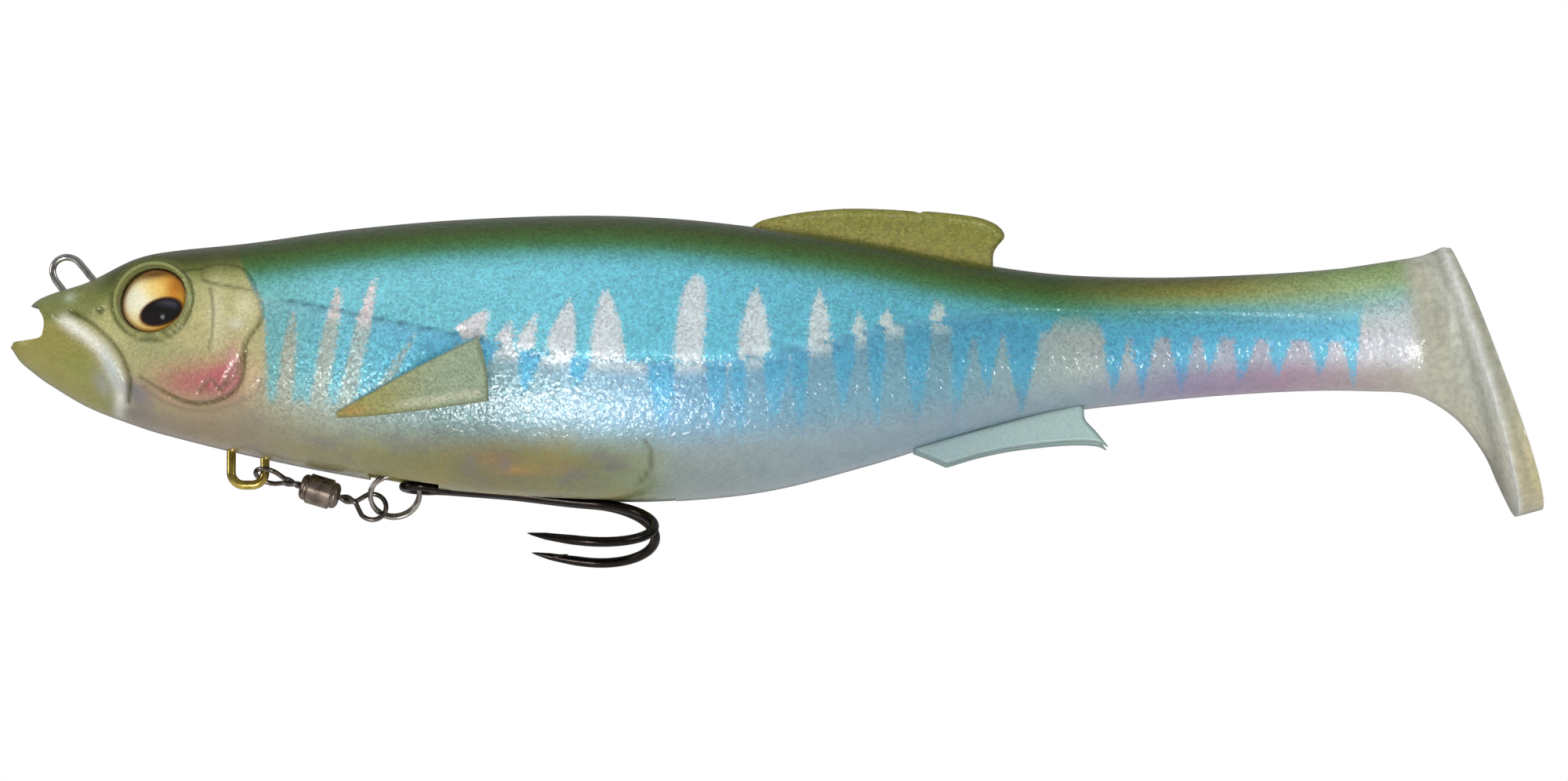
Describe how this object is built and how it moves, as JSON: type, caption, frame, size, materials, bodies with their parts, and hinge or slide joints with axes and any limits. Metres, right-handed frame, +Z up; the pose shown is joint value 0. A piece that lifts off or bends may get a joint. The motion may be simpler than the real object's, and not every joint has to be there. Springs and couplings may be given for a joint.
{
  "type": "swimbait fishing lure",
  "caption": "Soft paddle-tail fish lure with moulded eyes and fins, a weighted head, a nose line tie and a belly swivel rig with a treble hook stowed in a slot.",
  "frame": {"origin": "middle of the line-tie loop on the nose", "axes": "+X from nose to tail, +Z up through the back, -Y on the fish's left flank"},
  "size_m": [0.1998, 0.0362, 0.0463],
  "materials": {
    "skin": "painted satin",
    "tail": "translucent satin",
    "fin": "satin with glitter",
    "clear_fin": "translucent",
    "eye_foil": "metallic foil",
    "eye_lens": "clear dome",
    "tie_wire": "polished",
    "brass_wire": "polished",
    "lead": "cast",
    "frame_plastic": "clear moulded",
    "magnet": "copper plated",
    "nickel": "black nickel",
    "ring_steel": "polished",
    "hook_steel": "black nickel"
  },
  "bodies": {
    "trunk": {"body_front": "skin", "head_weight": "lead", "line_tie": "tie_wire", "belly_hanger": "brass_wire", "belly_frame": "frame_plastic", "magnet_front": "magnet", "magnet_rear": "magnet", "eye_foil_left": "eye_foil", "eye_foil_right": "eye_foil", "eye_lens_left": "eye_lens", "eye_lens_right": "eye_lens"},
    "mid": {"body_mid": "skin"},
    "stem": {"stem_front": "skin"},
    "tail": {"stem_rear": "skin"},
    "paddle": {"paddle_tail": "tail"},
    "dorsal": {"dorsal_fin": "fin"},
    "anal_left": {"anal_fin_left": "clear_fin"},
    "anal_right": {"anal_fin_right": "clear_fin"},
    "pectoral_left": {"pectoral_fin_left": "fin"},
    "pectoral_right": {"pectoral_fin_right": "fin"},
    "swivel": {"swivel_front_eye": "nickel", "swivel_rear_eye": "nickel"},
    "barrel": {"swivel_barrel": "nickel"},
    "ring": {"split_ring": "ring_steel"},
    "hook": {"hook_double": "hook_steel", "hook_single": "hook_steel"}
  },
  "joints": [
    {"name": "body_flex", "type": "hinge", "parent": "trunk", "child": "mid", "pos_m": [0.09, 0, 0], "axis": [0, 0, 1], "range_deg": [-12, 12], "stiffness_Nm_per_rad": 0.08},
    {"name": "stem_flex", "type": "hinge", "parent": "mid", "child": "stem", "pos_m": [0.138, 0, 0], "axis": [0, 0, 1], "range_deg": [-20, 20], "stiffness_Nm_per_rad": 0.03},
    {"name": "tail_flex", "type": "hinge", "parent": "stem", "child": "tail", "pos_m": [0.158, 0, 0], "axis": [0, 0, 1], "range_deg": [-25, 25], "stiffness_Nm_per_rad": 0.015},
    {"name": "paddle_flap", "type": "hinge", "parent": "tail", "child": "paddle", "pos_m": [0.174, 0, 0], "axis": [0, 0, 1], "range_deg": [-35, 35], "stiffness_Nm_per_rad": 0.008},
    {"name": "dorsal_flex", "type": "hinge", "parent": "mid", "child": "dorsal", "pos_m": [0.0956, 0, 0.0063], "axis": [0.9839, 0, -0.1785], "range_deg": [-12, 12], "stiffness_Nm_per_rad": 0.004},
    {"name": "anal_left_flex", "type": "hinge", "parent": "mid", "child": "anal_left", "pos_m": [0.1103, -0.002, -0.0233], "axis": [0.9704, 0, 0.2415], "range_deg": [-10, 10], "stiffness_Nm_per_rad": 0.002},
    {"name": "anal_right_flex", "type": "hinge", "parent": "mid", "child": "anal_right", "pos_m": [0.1103, 0.002, -0.0233], "axis": [0.9704, 0, 0.2415], "range_deg": [-10, 10], "stiffness_Nm_per_rad": 0.002},
    {"name": "pectoral_left_flap", "type": "hinge", "parent": "trunk", "child": "pectoral_left", "pos_m": [0.0352, -0.0103, -0.0187], "axis": [0, 0, 1], "range_deg": [-35, 6], "stiffness_Nm_per_rad": 0.002},
    {"name": "pectoral_right_flap", "type": "hinge", "parent": "trunk", "child": "pectoral_right", "pos_m": [0.0352, 0.0103, -0.0187], "axis": [0, 0, 1], "range_deg": [-6, 35], "stiffness_Nm_per_rad": 0.002},
    {"name": "hanger_swing", "type": "hinge", "parent": "trunk", "child": "swivel", "pos_m": [0.024, 0, -0.02573], "axis": [0, 1, 0], "range_deg": [0, 70]},
    {"name": "barrel_spin", "type": "hinge", "parent": "swivel", "child": "barrel", "pos_m": [0.03239, 0, -0.02822], "axis": [0.9588, 0, -0.284], "continuous": true},
    {"name": "ring_swing", "type": "hinge", "parent": "swivel", "child": "ring", "pos_m": [0.03911, 0, -0.03041], "axis": [0, 1, 0], "range_deg": [0, 20]},
    {"name": "hook_swing", "type": "hinge", "parent": "ring", "child": "hook", "pos_m": [0.04434, 0, -0.02758], "axis": [0, 1, 0], "range_deg": [0, 35]}
  ]
}
